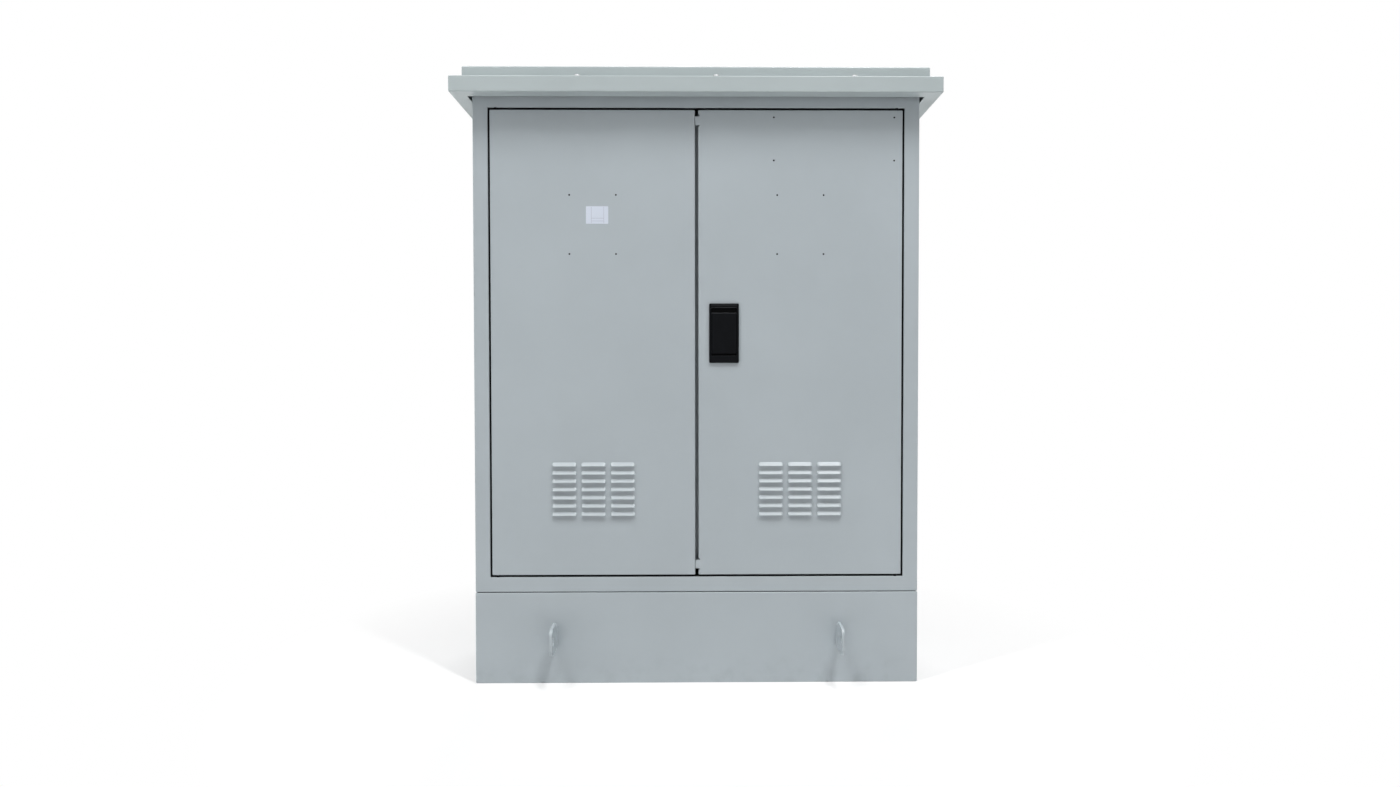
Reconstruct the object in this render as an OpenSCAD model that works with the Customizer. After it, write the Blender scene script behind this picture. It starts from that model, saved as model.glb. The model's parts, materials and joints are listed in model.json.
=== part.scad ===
/* [Cabinet body] */
// Width over the side walls
body_w = 1200; // [900:10:1600]
// Depth from the front face to the back face
body_d = 450; // [350:10:600]
// Thickness of the body, door and roof sheet
sheet = 2; // [1.5:0.5:3]
// Width of each folded flange that joins two sheets
flange_w = 20; // [12:1:30]
// Outer radius of a folded edge
bend_r = 4; // [3:0.5:4]

/* [Plinth] */
// Height of the plinth
plinth_h = 247; // [180:1:400]
// Thickness of the plinth sheet
plinth_sheet = 3; // [2:0.5:5]
// Width of the plinth's top flange, which carries the body
plinth_top_flange = 40; // [30:1:60]
// Width of the plinth's bottom flange, which is bolted down
plinth_foot_flange = 60; // [45:1:80]
// Radius of each anchor hole
anchor_hole_r = 7; // [5:0.5:9]
// Distance from an outer face to the anchor hole's centre, front to back
anchor_inset_y = 35; // [25:1:45]
// Distance from a side face to the anchor hole's centre
anchor_inset_x = 50; // [30:1:90]

/* [Lifting lugs] */
// Thickness of a lug plate
lug_t = 8; // [6:1:12]
// Height of a lug plate
lug_h = 74; // [60:1:84]
// How far a lug stands out of the plinth
lug_reach = 78; // [60:1:84]
// Radius of a lug's outer corners
lug_corner_r = 20; // [12:1:24]
// Radius of the shackle hole
lug_hole_r = 13; // [10:0.5:14]
// Distance from a lug's outer edge to the middle of its hole
lug_eye = 24; // [22:1:28]
// Distance from the middle of the cabinet to a lug
lug_x = 385; // [250:5:440]
// Height of the lug's middle above the ground
lug_z = 130; // [90:1:145]

/* [Door opening] */
// Width of each stile beside the doors
stile_w = 40; // [30:1:60]
// Height of the rail under the doors
bottom_rail_h = 42; // [30:1:60]
// Height of the rail over the doors
top_rail_h = 66; // [56:1:100]
// Depth from the front face to the back of the door rebate
rebate_d = 34; // [34:1:45]
// Width of the rebate lip that shows inside the opening
lip_w = 15; // [8:1:18]
// Width of the fixed centre post
post_w = 60; // [40:1:80]
// Depth of the centre post's sides
post_d = 30; // [20:1:40]
// Width of the keeper notch in the rebate lips and at the post's ends
keeper_w = 24; // [16:1:30]

/* [Doors] */
// Height of one leaf
door_h = 1252; // [1000:1:1500]
// Depth of the leaf's folded edge
door_d = 20; // [18:1:22]
// Width of the leaf's inner lip
door_lip = 12; // [8:1:14]
// Gap between a leaf and the frame
door_gap = 6; // [5:0.5:8]
// Gap between the two leaves
centre_gap = 9; // [8:0.5:14]
// Height of each bridging tab at the meeting edge
tab_h = 23; // [15:1:30]
// How far a bridging tab reaches into the centre gap
tab_reach = 4; // [1:0.5:4]
// Size of the relief cut at each end of a bridging tab
tab_relief = 4; // [4:0.5:5]
// Distance from a leaf's end to the middle of its bridging tab
tab_inset = 29; // [20:1:50]
// Width of a stiffener behind the leaf
stiffener_w = 36; // [24:1:40]
// Depth of a stiffener
stiffener_d = 16; // [10:1:16]
// Clearance between the latch's dish and the stiffener beside it
stiffener_clear = 10.5; // [6:0.5:14]

/* [Hinges] */
// Radius of a pivot pin
pin_r = 3; // [2:0.5:3]
// Radial clearance of a pivot pin in its block
pin_fit = 0.05; // [0.02:0.01:0.1]
// Distance from the leaf's hinge edge to the pin's axis
pin_x = 15; // [12:0.5:18]
// Distance from the leaf's face to the pin's axis
pin_y = 5.5; // [5:0.5:6]
// Radius of the pin's collar
collar_r = 4.5; // [4:0.5:5]
// Clearance between a collar and the leaf
collar_clear = 0.3; // [0.1:0.1:0.5]
// Length of the pin inside the leaf
pin_in = 14; // [8:1:20]

/* [Louvres] */
// Width of one louvre
louvre_w = 66; // [50:1:70]
// Height of one louvre
louvre_h = 11; // [8:0.5:14]
// How far a louvre stands out
louvre_out = 6.5; // [4:0.5:8]
// How much a louvre narrows at each end towards its lip
louvre_taper = 1.5; // [0.5:0.5:4]
// Spacing of the louvre columns
louvre_pitch_x = 79; // [74:1:82]
// Spacing of the louvre rows
louvre_pitch_z = 22.3; // [18:0.1:28]
// Number of louvre rows on a leaf
louvre_rows = 7; // [1:1:9]
// Height of the lowest louvre's lower edge above the leaf's lower edge
louvre_z = 161; // [120:1:220]

/* [Sign fixing holes] */
// Radius of each sign hole
sign_hole_r = 2.25; // [1.5:0.25:3]
// Width of the hole pattern for a middle sign
sign_w = 125; // [80:1:160]
// Height of the hole pattern for a middle sign
sign_h = 158; // [100:1:200]
// Distance from the leaf's upper edge to the middle sign's centre
sign_top = 306; // [260:1:420]
// Width of the hole pattern for the name plate on the right leaf
plate_w = 324; // [200:1:360]
// Height of the hole pattern for the name plate
plate_h = 115; // [60:1:140]
// Distance from the hinge edge to the name plate's centre
plate_x = 184.5; // [184:0.5:200]
// Distance from the leaf's upper edge to the name plate's centre
plate_top = 77; // [75:1:110]

/* [Latch] */
// Width of the escutcheon
latch_w = 80; // [70:1:90]
// Height of the escutcheon
latch_h = 160; // [150:1:180]
// Thickness of the escutcheon in front of the leaf
latch_t = 5; // [3:0.5:8]
// Distance from the leaf's free edge to the escutcheon
latch_inset = 29; // [26:1:40]
// Height of the escutcheon's middle above the leaf's lower edge
latch_z = 654; // [500:1:800]
// Width of the dish in the escutcheon
dish_w = 70; // [60:1:72]
// Height of the dish in the escutcheon
dish_h = 130; // [120:1:132]
// Depth of the dish behind the leaf's face
dish_d = 12; // [10:0.5:14]
// Wall of the dish
dish_wall = 2; // [1.5:0.5:3]
// Thickness of the paddle
paddle_t = 8; // [6:0.5:10]
// Gap round the paddle, at its sides and lower end
paddle_gap = 5; // [5:0.5:6]
// Height of the finger recess over the paddle
finger_h = 14; // [12:1:20]
// Radius of the paddle's pin
paddle_pin_r = 2; // [1.5:0.5:2.5]

/* [Lock] */
// Width of the lock case
case_w = 46; // [36:1:50]
// Height of the lock case
case_h = 110; // [80:1:140]
// Depth of the lock case behind the dish
case_d = 18; // [12:1:24]
// Width of a lock bar
rod_w = 16; // [10:1:20]
// Thickness of a lock bar
rod_t = 3; // [2:0.5:4]
// Distance from a bar's tip to the leaf's edge
rod_back = 4; // [2:1:10]
// Running clearance of a bar in its guide
rod_clear = 0.3; // [0.1:0.1:0.5]

/* [Door seal] */
// Thickness of the seal's lining on the sides of the rebate
seal_t = 0.8; // [0.4:0.2:0.8]
// Thickness of the seal's cushion on the rebate's lip
seal_cushion = 5; // [3:0.5:6]
// Width of the seal's cushion
seal_w = 8; // [5:0.5:8]

/* [Floor] */
// Width of the cable opening in the floor
cable_w = 900; // [600:10:1000]
// Depth of the cable opening in the floor
cable_d = 240; // [160:10:300]
// How far the gland plate overlaps the floor all round
gland_lap = 20; // [12:1:30]

/* [Roof] */
// Overhang of the hood on every side
hood_over = 50; // [30:1:80]
// Height of the hood's fascia
fascia_h = 42; // [30:1:60]
// Clearance between the hood's return flange and the body
hood_clear = 10; // [6:1:15]
// Inset of the raised cap from the fascia
cap_inset = 28; // [20:1:40]
// Height of the raised cap
cap_h = 34; // [20:1:50]
// Fall of the cap's top towards the back
cap_fall = 6; // [0:1:15]
// Radius of a roof bolt's head
bolt_r = 10; // [6:0.5:11]
// Height of a roof bolt's head
bolt_h = 4; // [2:0.5:6]
// Spacing of the roof bolts
bolt_pitch = 366; // [250:1:450]
// Shift of the middle roof bolt from the middle of the cabinet
bolt_shift = 51.5; // [0:0.5:80]

/* [Hidden] */
$fn = 48;
eps = 0.01;

front_y = -body_d / 2;
opening_x = body_w / 2 - stile_w;
opening_z = plinth_h + bottom_rail_h;
opening_h = door_h + 2 * door_gap;
opening_top = opening_z + opening_h;
body_top = opening_top + top_rail_h;
body_h = body_top - plinth_h;
roof_z = body_top + sheet;

leaf_w = opening_x - door_gap - centre_gap / 2;
leaf_z = opening_z + door_gap;
leaf_hinge_x = opening_x - door_gap;
bore_r = pin_r + pin_fit;
block_w = pin_x + collar_r + 6;
block_y = sheet;
block_d = 2 * (pin_y - sheet) + 3;
block_h = 12;
pin_tail = 4;

hood_w = body_w + 2 * hood_over;
hood_d = body_d + 2 * hood_over;
cap_w = hood_w - 2 * cap_inset;
cap_d = hood_d - 2 * cap_inset;
bolt_y = hood_d / 2 - cap_inset / 2;

latch_x = leaf_w - latch_inset - latch_w / 2;
stiffener_x = latch_x - dish_w / 2 - dish_wall - stiffener_clear - stiffener_w / 2 - leaf_w / 2;
louvre_cols = floor((2 * stiffener_x - stiffener_w) / louvre_pitch_x);
sign_z = door_h - sign_top;
plate_z = door_h - plate_top;
dish_top = dish_h / 2 + 4;
dish_low = dish_top - dish_h;
paddle_w = dish_w - 2 * paddle_gap;
paddle_top = dish_top - finger_h;
paddle_pin_z = dish_low + paddle_gap + paddle_t / 2;
paddle_pin_y = paddle_t / 2 - latch_t;
paddle_bore_r = paddle_pin_r + pin_fit;
louvre_sheet = 1.5;

// A box with its low corner at a point
module slab(x, y, z, w, d, h) {
    translate([x, y, z])
        cube([w, d, h]);
}

// Both mirrored places of a piece that repeats left and right
module left_and_right() {
    children();
    mirror([1, 0, 0])
        children();
}

// Both mirrored places of a piece that repeats front and back
module front_and_back() {
    children();
    mirror([0, 1, 0])
        children();
}

// What a round fold takes off an edge that goes up from the origin
module fold_cut(length) {
    difference() {
        slab(-eps, -eps, -eps, bend_r + eps, bend_r + eps, length + 2 * eps);
        translate([bend_r, bend_r, -2 * eps])
            cylinder(r = bend_r, h = length + 4 * eps);
    }
}

// The same along an edge that goes right from the origin
module fold_cut_x(length) {
    rotate([90, 0, 90])
        fold_cut(length);
}

// The same along the left edge of a box that goes back from the origin
module fold_cut_y(length) {
    translate([0, length, 0])
        rotate([90, 0, 0])
            fold_cut(length);
}

// Folds of a sheet box over the origin: its four upright edges and the four round its upper face
module box_folds(w, d, z, h) {
    left_and_right()
        front_and_back()
            translate([-w / 2, -d / 2, z]) {
                fold_cut(h);
                translate([0, 0, h])
                    mirror([0, 0, 1]) {
                        fold_cut_x(w / 2);
                        fold_cut_y(d / 2);
                    }
            }
}

// Front or back panel of the plinth, folded to a channel
module plinth_long_panel() {
    difference() {
        union() {
            slab(-body_w / 2, front_y, 0, body_w, plinth_sheet, plinth_h);
            slab(-body_w / 2, front_y, 0, body_w, plinth_foot_flange, plinth_sheet);
            slab(-body_w / 2, front_y, plinth_h - plinth_sheet, body_w, plinth_top_flange, plinth_sheet);
        }
        left_and_right()
            translate([body_w / 2 - anchor_inset_x, front_y + anchor_inset_y, -eps])
                cylinder(r = anchor_hole_r, h = plinth_sheet + 2 * eps);
        translate([-body_w / 2, front_y, 0])
            fold_cut_x(body_w);
        translate([-body_w / 2, front_y, plinth_h])
            mirror([0, 0, 1])
                fold_cut_x(body_w);
    }
}

// Left panel of the plinth, between the front and back panels
module plinth_short_panel() {
    side_d = body_d - 2 * plinth_sheet;
    foot_d = body_d - 2 * plinth_foot_flange;
    top_d = body_d - 2 * plinth_top_flange;
    slab(-body_w / 2, -side_d / 2, plinth_sheet, plinth_sheet, side_d, plinth_h - 2 * plinth_sheet);
    slab(-body_w / 2, -foot_d / 2, 0, plinth_foot_flange, foot_d, plinth_sheet);
    slab(-body_w / 2, -top_d / 2, plinth_h - plinth_sheet, plinth_top_flange, top_d, plinth_sheet);
}

module plinth_front() {
    color("gainsboro")
        plinth_long_panel();
}

module plinth_back() {
    color("gainsboro")
        mirror([0, 1, 0])
            plinth_long_panel();
}

module plinth_left() {
    color("gainsboro")
        plinth_short_panel();
}

module plinth_right() {
    color("gainsboro")
        mirror([1, 0, 0])
            plinth_short_panel();
}

// One lug plate with round outer corners and a shackle hole, standing out of the front
module lug() {
    corner_x = lug_reach - lug_corner_r;
    corner_z = lug_h / 2 - lug_corner_r;
    foot = 8;
    translate([lug_x - lug_t / 2, front_y, lug_z])
        rotate([90, 0, 90])
            linear_extrude(lug_t)
                difference() {
                    union() {
                        polygon([
                            [0, foot - lug_h / 2],
                            [-foot, -lug_h / 2],
                            [-corner_x, -lug_h / 2],
                            [-corner_x, lug_h / 2],
                            [-foot, lug_h / 2],
                            [0, lug_h / 2 - foot]
                        ]);
                        translate([-lug_reach, -corner_z])
                            square([lug_reach - foot, 2 * corner_z]);
                        for (z = [-corner_z, corner_z])
                            translate([-corner_x, z])
                                circle(lug_corner_r);
                    }
                    translate([lug_eye - lug_reach, 0])
                        circle(lug_hole_r);
                }
}

module front_lugs() {
    color("whitesmoke")
        left_and_right()
            lug();
}

module back_lugs() {
    color("whitesmoke")
        mirror([0, 1, 0])
            left_and_right()
                lug();
}

// Floor pan with its front and back edges folded up, and the cable opening
module floor_pan() {
    inner_w = body_w - 2 * sheet;
    y0 = front_y + rebate_d;
    y1 = -front_y - 2 * sheet;
    color("gainsboro")
        difference() {
            slab(-inner_w / 2, y0, plinth_h, inner_w, y1 - y0, flange_w);
            slab(-body_w / 2, y0 + sheet, plinth_h + sheet, body_w, y1 - y0 - 2 * sheet, flange_w);
            slab(-cable_w / 2, -cable_d / 2, plinth_h - eps, cable_w, cable_d, sheet + 2 * eps);
        }
}

// Blank plate that closes the cable opening and is drilled for its glands on site
module gland_plate() {
    w = cable_w + 2 * gland_lap;
    d = cable_d + 2 * gland_lap;
    color("silver")
        slab(-w / 2, -d / 2, plinth_h + sheet, w, d, sheet);
}

// Round of the corner where the left wall is folded into the stile
module body_corner_cut() {
    translate([-body_w / 2, front_y, plinth_h])
        fold_cut(body_h);
}

// Left wall with its back flange
module side_wall() {
    wall_d = body_d - 2 * sheet;
    difference() {
        slab(-body_w / 2, front_y + sheet, plinth_h, sheet, wall_d, body_h);
        body_corner_cut();
    }
    slab(-body_w / 2, -front_y - 2 * sheet, plinth_h, flange_w, sheet, body_h);
}

module left_wall() {
    color("gainsboro")
        side_wall();
}

module right_wall() {
    color("gainsboro")
        mirror([1, 0, 0])
            side_wall();
}

module back_wall() {
    color("gainsboro")
        slab(-body_w / 2, -front_y - sheet, plinth_h, body_w, sheet, body_h);
}

// Roof plate of the body, a tray with its rim folded down
module top_plate() {
    w = body_w - 2 * sheet;
    y0 = front_y + sheet;
    d = body_d - 3 * sheet;
    color("gainsboro")
        difference() {
            slab(-w / 2, y0, body_top - flange_w, w, d, flange_w);
            slab(-w / 2 + sheet, y0 + sheet, body_top - flange_w - eps, w - 2 * sheet, d - 2 * sheet,
                flange_w - sheet + eps);
        }
}

// Folded stile: a face of full height, then a rebate side and lip that stop under the top plate
module stile() {
    difference() {
        slab(-body_w / 2, front_y, plinth_h, stile_w, sheet, body_h);
        body_corner_cut();
    }
    translate([-body_w / 2, front_y, plinth_h])
        linear_extrude(body_h - flange_w)
            union() {
                translate([stile_w - sheet, 0])
                    square([sheet, rebate_d]);
                translate([stile_w - sheet, rebate_d - sheet])
                    square([lip_w + sheet, sheet]);
            }
}

module left_stile() {
    color("gainsboro")
        stile();
}

module right_stile() {
    color("gainsboro")
        mirror([1, 0, 0])
            stile();
}

// Rail under the opening, with its upper edge at zero: face, rebate floor and lip, drilled for the pins
module rail(face_h) {
    lip_x = opening_x - lip_w;
    difference() {
        union() {
            slab(-opening_x, front_y, -face_h, 2 * opening_x, sheet, face_h);
            slab(-opening_x, front_y, -sheet, 2 * opening_x, rebate_d - sheet, sheet);
            slab(-lip_x, front_y + rebate_d - sheet, -sheet, 2 * lip_x, sheet, lip_w + sheet);
        }
        slab(-keeper_w / 2, front_y + rebate_d - sheet - eps, 0, keeper_w, sheet + 2 * eps, lip_w + eps);
        left_and_right()
            translate([leaf_hinge_x - pin_x, front_y + pin_y, -sheet - eps])
                cylinder(r = bore_r, h = sheet + 2 * eps);
    }
}

module bottom_rail() {
    color("gainsboro")
        translate([0, 0, opening_z])
            rail(bottom_rail_h);
}

module top_rail() {
    color("gainsboro")
        translate([0, 0, opening_top])
            mirror([0, 0, 1])
                rail(top_rail_h);
}

// Fixed post behind the meeting edges, notched at both ends for the lock's keepers
module centre_post() {
    post_y = front_y + rebate_d;
    notch_h = lip_w;
    color("gainsboro")
        difference() {
            slab(-post_w / 2, post_y, opening_z, post_w, post_d, opening_h);
            slab(-post_w / 2 + sheet, post_y + sheet, opening_z - eps, post_w - 2 * sheet, post_d,
                opening_h + 2 * eps);
            slab(-keeper_w / 2, post_y - eps, opening_z - eps, keeper_w, post_d, notch_h + eps);
            slab(-keeper_w / 2, post_y - eps, opening_top - notch_h, keeper_w, post_d, notch_h + eps);
        }
}

// Rubber seal round the opening: a thin lining on the rebate's sides and a cushion on its lip
module door_seal() {
    seal_y = front_y + bend_r + 1;
    lip_y = front_y + rebate_d - sheet;
    pin_hole_r = collar_r + 0.5;
    color("dimgray")
        difference() {
            slab(-opening_x, seal_y, opening_z, 2 * opening_x, lip_y - seal_y, opening_h);
            slab(-opening_x + seal_t, seal_y - eps, opening_z + seal_t, 2 * (opening_x - seal_t),
                lip_y - seal_cushion - seal_y + eps, opening_h - 2 * seal_t);
            slab(-opening_x + seal_w, seal_y, opening_z + seal_w, 2 * (opening_x - seal_w), rebate_d,
                opening_h - 2 * seal_w);
            slab(-keeper_w / 2, lip_y - seal_cushion, opening_z + seal_t, keeper_w, rebate_d,
                opening_h - 2 * seal_t);
            left_and_right()
                translate([leaf_hinge_x - pin_x, front_y + pin_y, opening_z - eps])
                    cylinder(r = pin_hole_r, h = opening_h + 2 * eps);
        }
}

// Hood: a tray with a fascia all round and a return flange that stops short of the body
module roof_hood() {
    hole_w = body_w + 2 * hood_clear;
    hole_d = body_d + 2 * hood_clear;
    low_z = roof_z - fascia_h;
    color("gainsboro")
        difference() {
            slab(-hood_w / 2, -hood_d / 2, low_z, hood_w, hood_d, fascia_h);
            slab(-hood_w / 2 + sheet, -hood_d / 2 + sheet, low_z + sheet, hood_w - 2 * sheet, hood_d - 2 * sheet,
                fascia_h - 2 * sheet);
            slab(-hole_w / 2, -hole_d / 2, low_z - eps, hole_w, hole_d, sheet + 2 * eps);
            box_folds(hood_w, hood_d, low_z, fascia_h);
        }
}

// Raised cap: a shallow sheet box whose top falls to the back
module roof_cap() {
    color("lightgray")
        difference() {
            cap_block(cap_w, cap_d, cap_h);
            cap_block(cap_w - 2 * sheet, cap_d - 2 * sheet, cap_h - sheet);
        }
}

module cap_block(w, d, h) {
    slope = cap_fall / cap_d;
    half_fall = slope * d / 2;
    middle_h = h - cap_fall / 2;
    translate([-w / 2, 0, roof_z])
        rotate([90, 0, 90])
            linear_extrude(w)
                polygon([
                    [-d / 2, 0],
                    [d / 2, 0],
                    [d / 2, middle_h - half_fall],
                    [-d / 2, middle_h + half_fall]
                ]);
}

// Flat-domed bolts along the front and back ledges of the hood
module roof_bolts() {
    color("silver")
        for (x = [bolt_shift - bolt_pitch, bolt_shift, bolt_shift + bolt_pitch])
            for (y = [-bolt_y, bolt_y])
                translate([x, y, roof_z]) {
                    cylinder(r = bolt_r, h = bolt_h / 2);
                    translate([0, 0, bolt_h / 2])
                        cylinder(r1 = bolt_r, r2 = bolt_r - bolt_h, h = bolt_h / 2);
                }
}

// Pivot pin through the rail: tail under the rebate floor, collar in the door gap, shank in the leaf
module hinge_pin() {
    cylinder(r = collar_r, h = door_gap - collar_clear);
    translate([0, 0, -sheet - pin_tail])
        cylinder(r = pin_r, h = sheet + pin_tail + door_gap + pin_in);
}

module hinge_pins() {
    color("silver")
        left_and_right()
            translate([leaf_hinge_x - pin_x, front_y + pin_y, 0]) {
                translate([0, 0, opening_z])
                    hinge_pin();
                translate([0, 0, opening_top])
                    mirror([0, 0, 1])
                        hinge_pin();
            }
}

// Places a leaf's own pieces on the left of the opening
module at_left_leaf() {
    translate([-leaf_hinge_x, front_y, leaf_z])
        children();
}

// Places the same pieces mirrored on the right of the opening
module at_right_leaf() {
    mirror([1, 0, 0])
        at_left_leaf()
            children();
}

// Folded door leaf without its cut-outs
module leaf_pan() {
    inner_w = leaf_w - 2 * sheet;
    inner_h = door_h - 2 * sheet;
    difference() {
        cube([leaf_w, door_d, door_h]);
        slab(sheet, sheet, sheet, inner_w, door_d - 2 * sheet, inner_h);
        slab(door_lip, sheet, door_lip, leaf_w - 2 * door_lip, door_d, door_h - 2 * door_lip);
        fold_cut(door_h);
        fold_cut_x(leaf_w);
        translate([leaf_w, 0, 0])
            mirror([1, 0, 0])
                fold_cut(door_h);
        translate([0, 0, door_h])
            mirror([0, 0, 1])
                fold_cut_x(leaf_w);
    }
}

// Outer or inner form of one pressed louvre: sloping front, sloping ends and round upper corners
module louvre_form(inset) {
    w = louvre_w - 2 * inset;
    h = louvre_h - inset;
    out = louvre_out - inset;
    corner_r = h * 0.6;
    intersection() {
        translate([-w / 2, 0, 0])
            rotate([90, 0, 90])
                linear_extrude(w)
                    polygon([[sheet, 0], [-out, 0], [-out, 1], [0, h], [sheet, h]]);
        translate([0, sheet, 0])
            rotate([90, 0, 0])
                linear_extrude(sheet + out)
                    union() {
                        translate([-w / 2, 0])
                            square([w, h - corner_r]);
                        translate([-w / 2 + corner_r, 0])
                            square([w - 2 * corner_r, h]);
                        translate([-w / 2 + corner_r, h - corner_r])
                            circle(corner_r);
                        translate([w / 2 - corner_r, h - corner_r])
                            circle(corner_r);
                    }
        linear_extrude(h)
            polygon([
                [-w / 2, sheet],
                [w / 2, sheet],
                [w / 2, 0],
                [w / 2 - louvre_taper, -out],
                [-w / 2 + louvre_taper, -out],
                [-w / 2, 0]
            ]);
    }
}

// Repeats a louvre over the field in the middle of the leaf
module louvre_field() {
    for (col = [0 : louvre_cols - 1])
        for (row = [0 : louvre_rows - 1])
            translate([
                leaf_w / 2 + (col - (louvre_cols - 1) / 2) * louvre_pitch_x,
                0,
                louvre_z + row * louvre_pitch_z
            ])
                children();
}

// Four holes through the leaf's skin
module sign_holes(x, z, w, h) {
    for (dx = [-w / 2, w / 2])
        for (dz = [-h / 2, h / 2])
            translate([x + dx, -eps, z + dz])
                rotate([-90, 0, 0])
                    cylinder(r = sign_hole_r, h = sheet + 2 * eps);
}

// Leaf with louvres, sign holes and the bores for its pivot pins
module leaf() {
    difference() {
        union() {
            leaf_pan();
            louvre_field()
                louvre_form(0);
        }
        louvre_field()
            translate([0, eps, -eps])
                louvre_form(louvre_sheet);
        sign_holes(leaf_w / 2, sign_z, sign_w, sign_h);
        for (z = [-eps, door_h - sheet - eps])
            translate([pin_x, pin_y, z])
                cylinder(r = bore_r, h = sheet + 2 * eps);
    }
}

// Places a piece at each end of the meeting edge
module at_tabs() {
    for (z = [tab_inset, door_h - tab_inset])
        translate([leaf_w, 0, z])
            children();
}

// Tab of unfolded skin that bridges the centre gap
module tab() {
    slab(-tab_relief, 0, -tab_h / 2, tab_relief + tab_reach, sheet, tab_h);
}

// Relief cut round a tab, which also takes the folded edge behind it away
module tab_cut() {
    cut_h = tab_h + 2 * tab_relief;
    slab(-tab_relief, -eps, -cut_h / 2, tab_relief + eps, sheet + 2 * eps, cut_h);
    slab(-sheet - eps, 0, -cut_h / 2, sheet + 2 * eps, door_d - sheet, cut_h);
}

module left_door() {
    color("gainsboro")
        at_left_leaf()
            leaf();
}

// Active leaf with the name plate's holes, the latch's cut-out and the bridging tabs
module right_door() {
    hole_w = dish_w + 2 * dish_wall;
    hole_h = dish_h + 2 * dish_wall;
    color("gainsboro")
        at_right_leaf() {
            difference() {
                leaf();
                sign_holes(plate_x, plate_z, plate_w, plate_h);
                slab(latch_x - hole_w / 2, -eps, latch_z + dish_low - dish_wall, hole_w, sheet + 2 * eps, hole_h);
                at_tabs()
                    tab_cut();
            }
            at_tabs()
                tab();
        }
}

// Hat-section stiffeners behind the skin
module stiffeners() {
    foot = 8;
    length = door_h - 2 * (door_lip + 2);
    for (x = [leaf_w / 2 - stiffener_x, leaf_w / 2 + stiffener_x])
        translate([x, sheet, door_lip + 2])
            linear_extrude(length)
                difference() {
                    union() {
                        translate([-stiffener_w / 2, 0])
                            square([stiffener_w, louvre_sheet]);
                        translate([-stiffener_w / 2 + foot, 0])
                            square([stiffener_w - 2 * foot, stiffener_d]);
                    }
                    translate([-stiffener_w / 2 + foot + louvre_sheet, -eps])
                        square([stiffener_w - 2 * foot - 2 * louvre_sheet, stiffener_d - louvre_sheet + eps]);
                }
}

module left_stiffeners() {
    color("gainsboro")
        at_left_leaf()
            stiffeners();
}

module right_stiffeners() {
    color("gainsboro")
        at_right_leaf()
            stiffeners();
}

// Blocks in the leaf's corners that turn on the pivot pins
module hinge_blocks() {
    difference() {
        for (z = [sheet, door_h - sheet - block_h])
            slab(sheet, block_y, z, block_w, block_d, block_h);
        translate([pin_x, pin_y, -eps])
            cylinder(r = bore_r, h = door_h + 2 * eps);
    }
}

module left_hinge_blocks() {
    color("silver")
        at_left_leaf()
            hinge_blocks();
}

module right_hinge_blocks() {
    color("silver")
        at_right_leaf()
            hinge_blocks();
}

// Places the latch's own pieces at the middle of the escutcheon
module at_latch() {
    at_right_leaf()
        translate([latch_x, 0, latch_z])
            children();
}

// Escutcheon with the dish behind it
module latch_escutcheon() {
    shell_w = dish_w + 2 * dish_wall;
    shell_h = dish_h + 2 * dish_wall;
    color("black")
        at_latch()
            difference() {
                union() {
                    slab(-latch_w / 2, -latch_t, -latch_h / 2, latch_w, latch_t, latch_h);
                    slab(-shell_w / 2, 0, dish_low - dish_wall, shell_w, dish_d + dish_wall, shell_h);
                }
                slab(-dish_w / 2, -latch_t - eps, dish_low, dish_w, latch_t + dish_d + eps, dish_h);
                translate([-shell_w / 2, paddle_pin_y, paddle_pin_z])
                    rotate([0, 90, 0])
                        cylinder(r = paddle_bore_r, h = shell_w);
            }
}

// Pin through the paddle and both side walls of the dish
module latch_pin() {
    length = dish_w + 2 * dish_wall;
    color("silver")
        at_latch()
            translate([-length / 2, paddle_pin_y, paddle_pin_z])
                rotate([0, 90, 0])
                    cylinder(r = paddle_pin_r, h = length);
}

// Paddle with a round lower end that turns on its pin
module latch_paddle() {
    color("black")
        at_latch()
            translate([-paddle_w / 2, paddle_pin_y, paddle_pin_z])
                rotate([90, 0, 90])
                    linear_extrude(paddle_w)
                        difference() {
                            union() {
                                circle(paddle_t / 2);
                                translate([-paddle_t / 2, 0])
                                    square([paddle_t, paddle_top - paddle_pin_z]);
                            }
                            circle(paddle_bore_r);
                        }
}

// Case of the rod lock behind the dish
module lock_case() {
    color("silver")
        at_latch()
            slab(-case_w / 2, dish_d + dish_wall, -case_h / 2, case_w, case_d, case_h);
}

// Flat bars from the lock case to both ends of the leaf, drawn back
module lock_rods() {
    color("silver")
        at_latch() {
            slab(-rod_w / 2, door_d, case_h / 2, rod_w, rod_t, door_h - latch_z - case_h / 2 - rod_back);
            slab(-rod_w / 2, door_d, rod_back - latch_z, rod_w, rod_t, latch_z - case_h / 2 - rod_back);
        }
}

// Bridges that hold the bars to the leaf's inner lips
module rod_guides() {
    guide_wall = 1.5;
    guide_h = 8;
    foot_w = 7;
    gap_w = rod_w + 2 * rod_clear;
    gap_d = rod_t + rod_clear;
    w = gap_w + 2 * guide_wall + 2 * foot_w;
    color("silver")
        at_right_leaf()
            for (z = [rod_back + 1, door_h - rod_back - 1 - guide_h])
                translate([latch_x, door_d, z])
                    linear_extrude(guide_h)
                        difference() {
                            union() {
                                translate([-w / 2, 0])
                                    square([w, guide_wall]);
                                translate([-gap_w / 2 - guide_wall, 0])
                                    square([gap_w + 2 * guide_wall, gap_d + guide_wall]);
                            }
                            translate([-gap_w / 2, -eps])
                                square([gap_w, gap_d + eps]);
                        }
}

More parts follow.
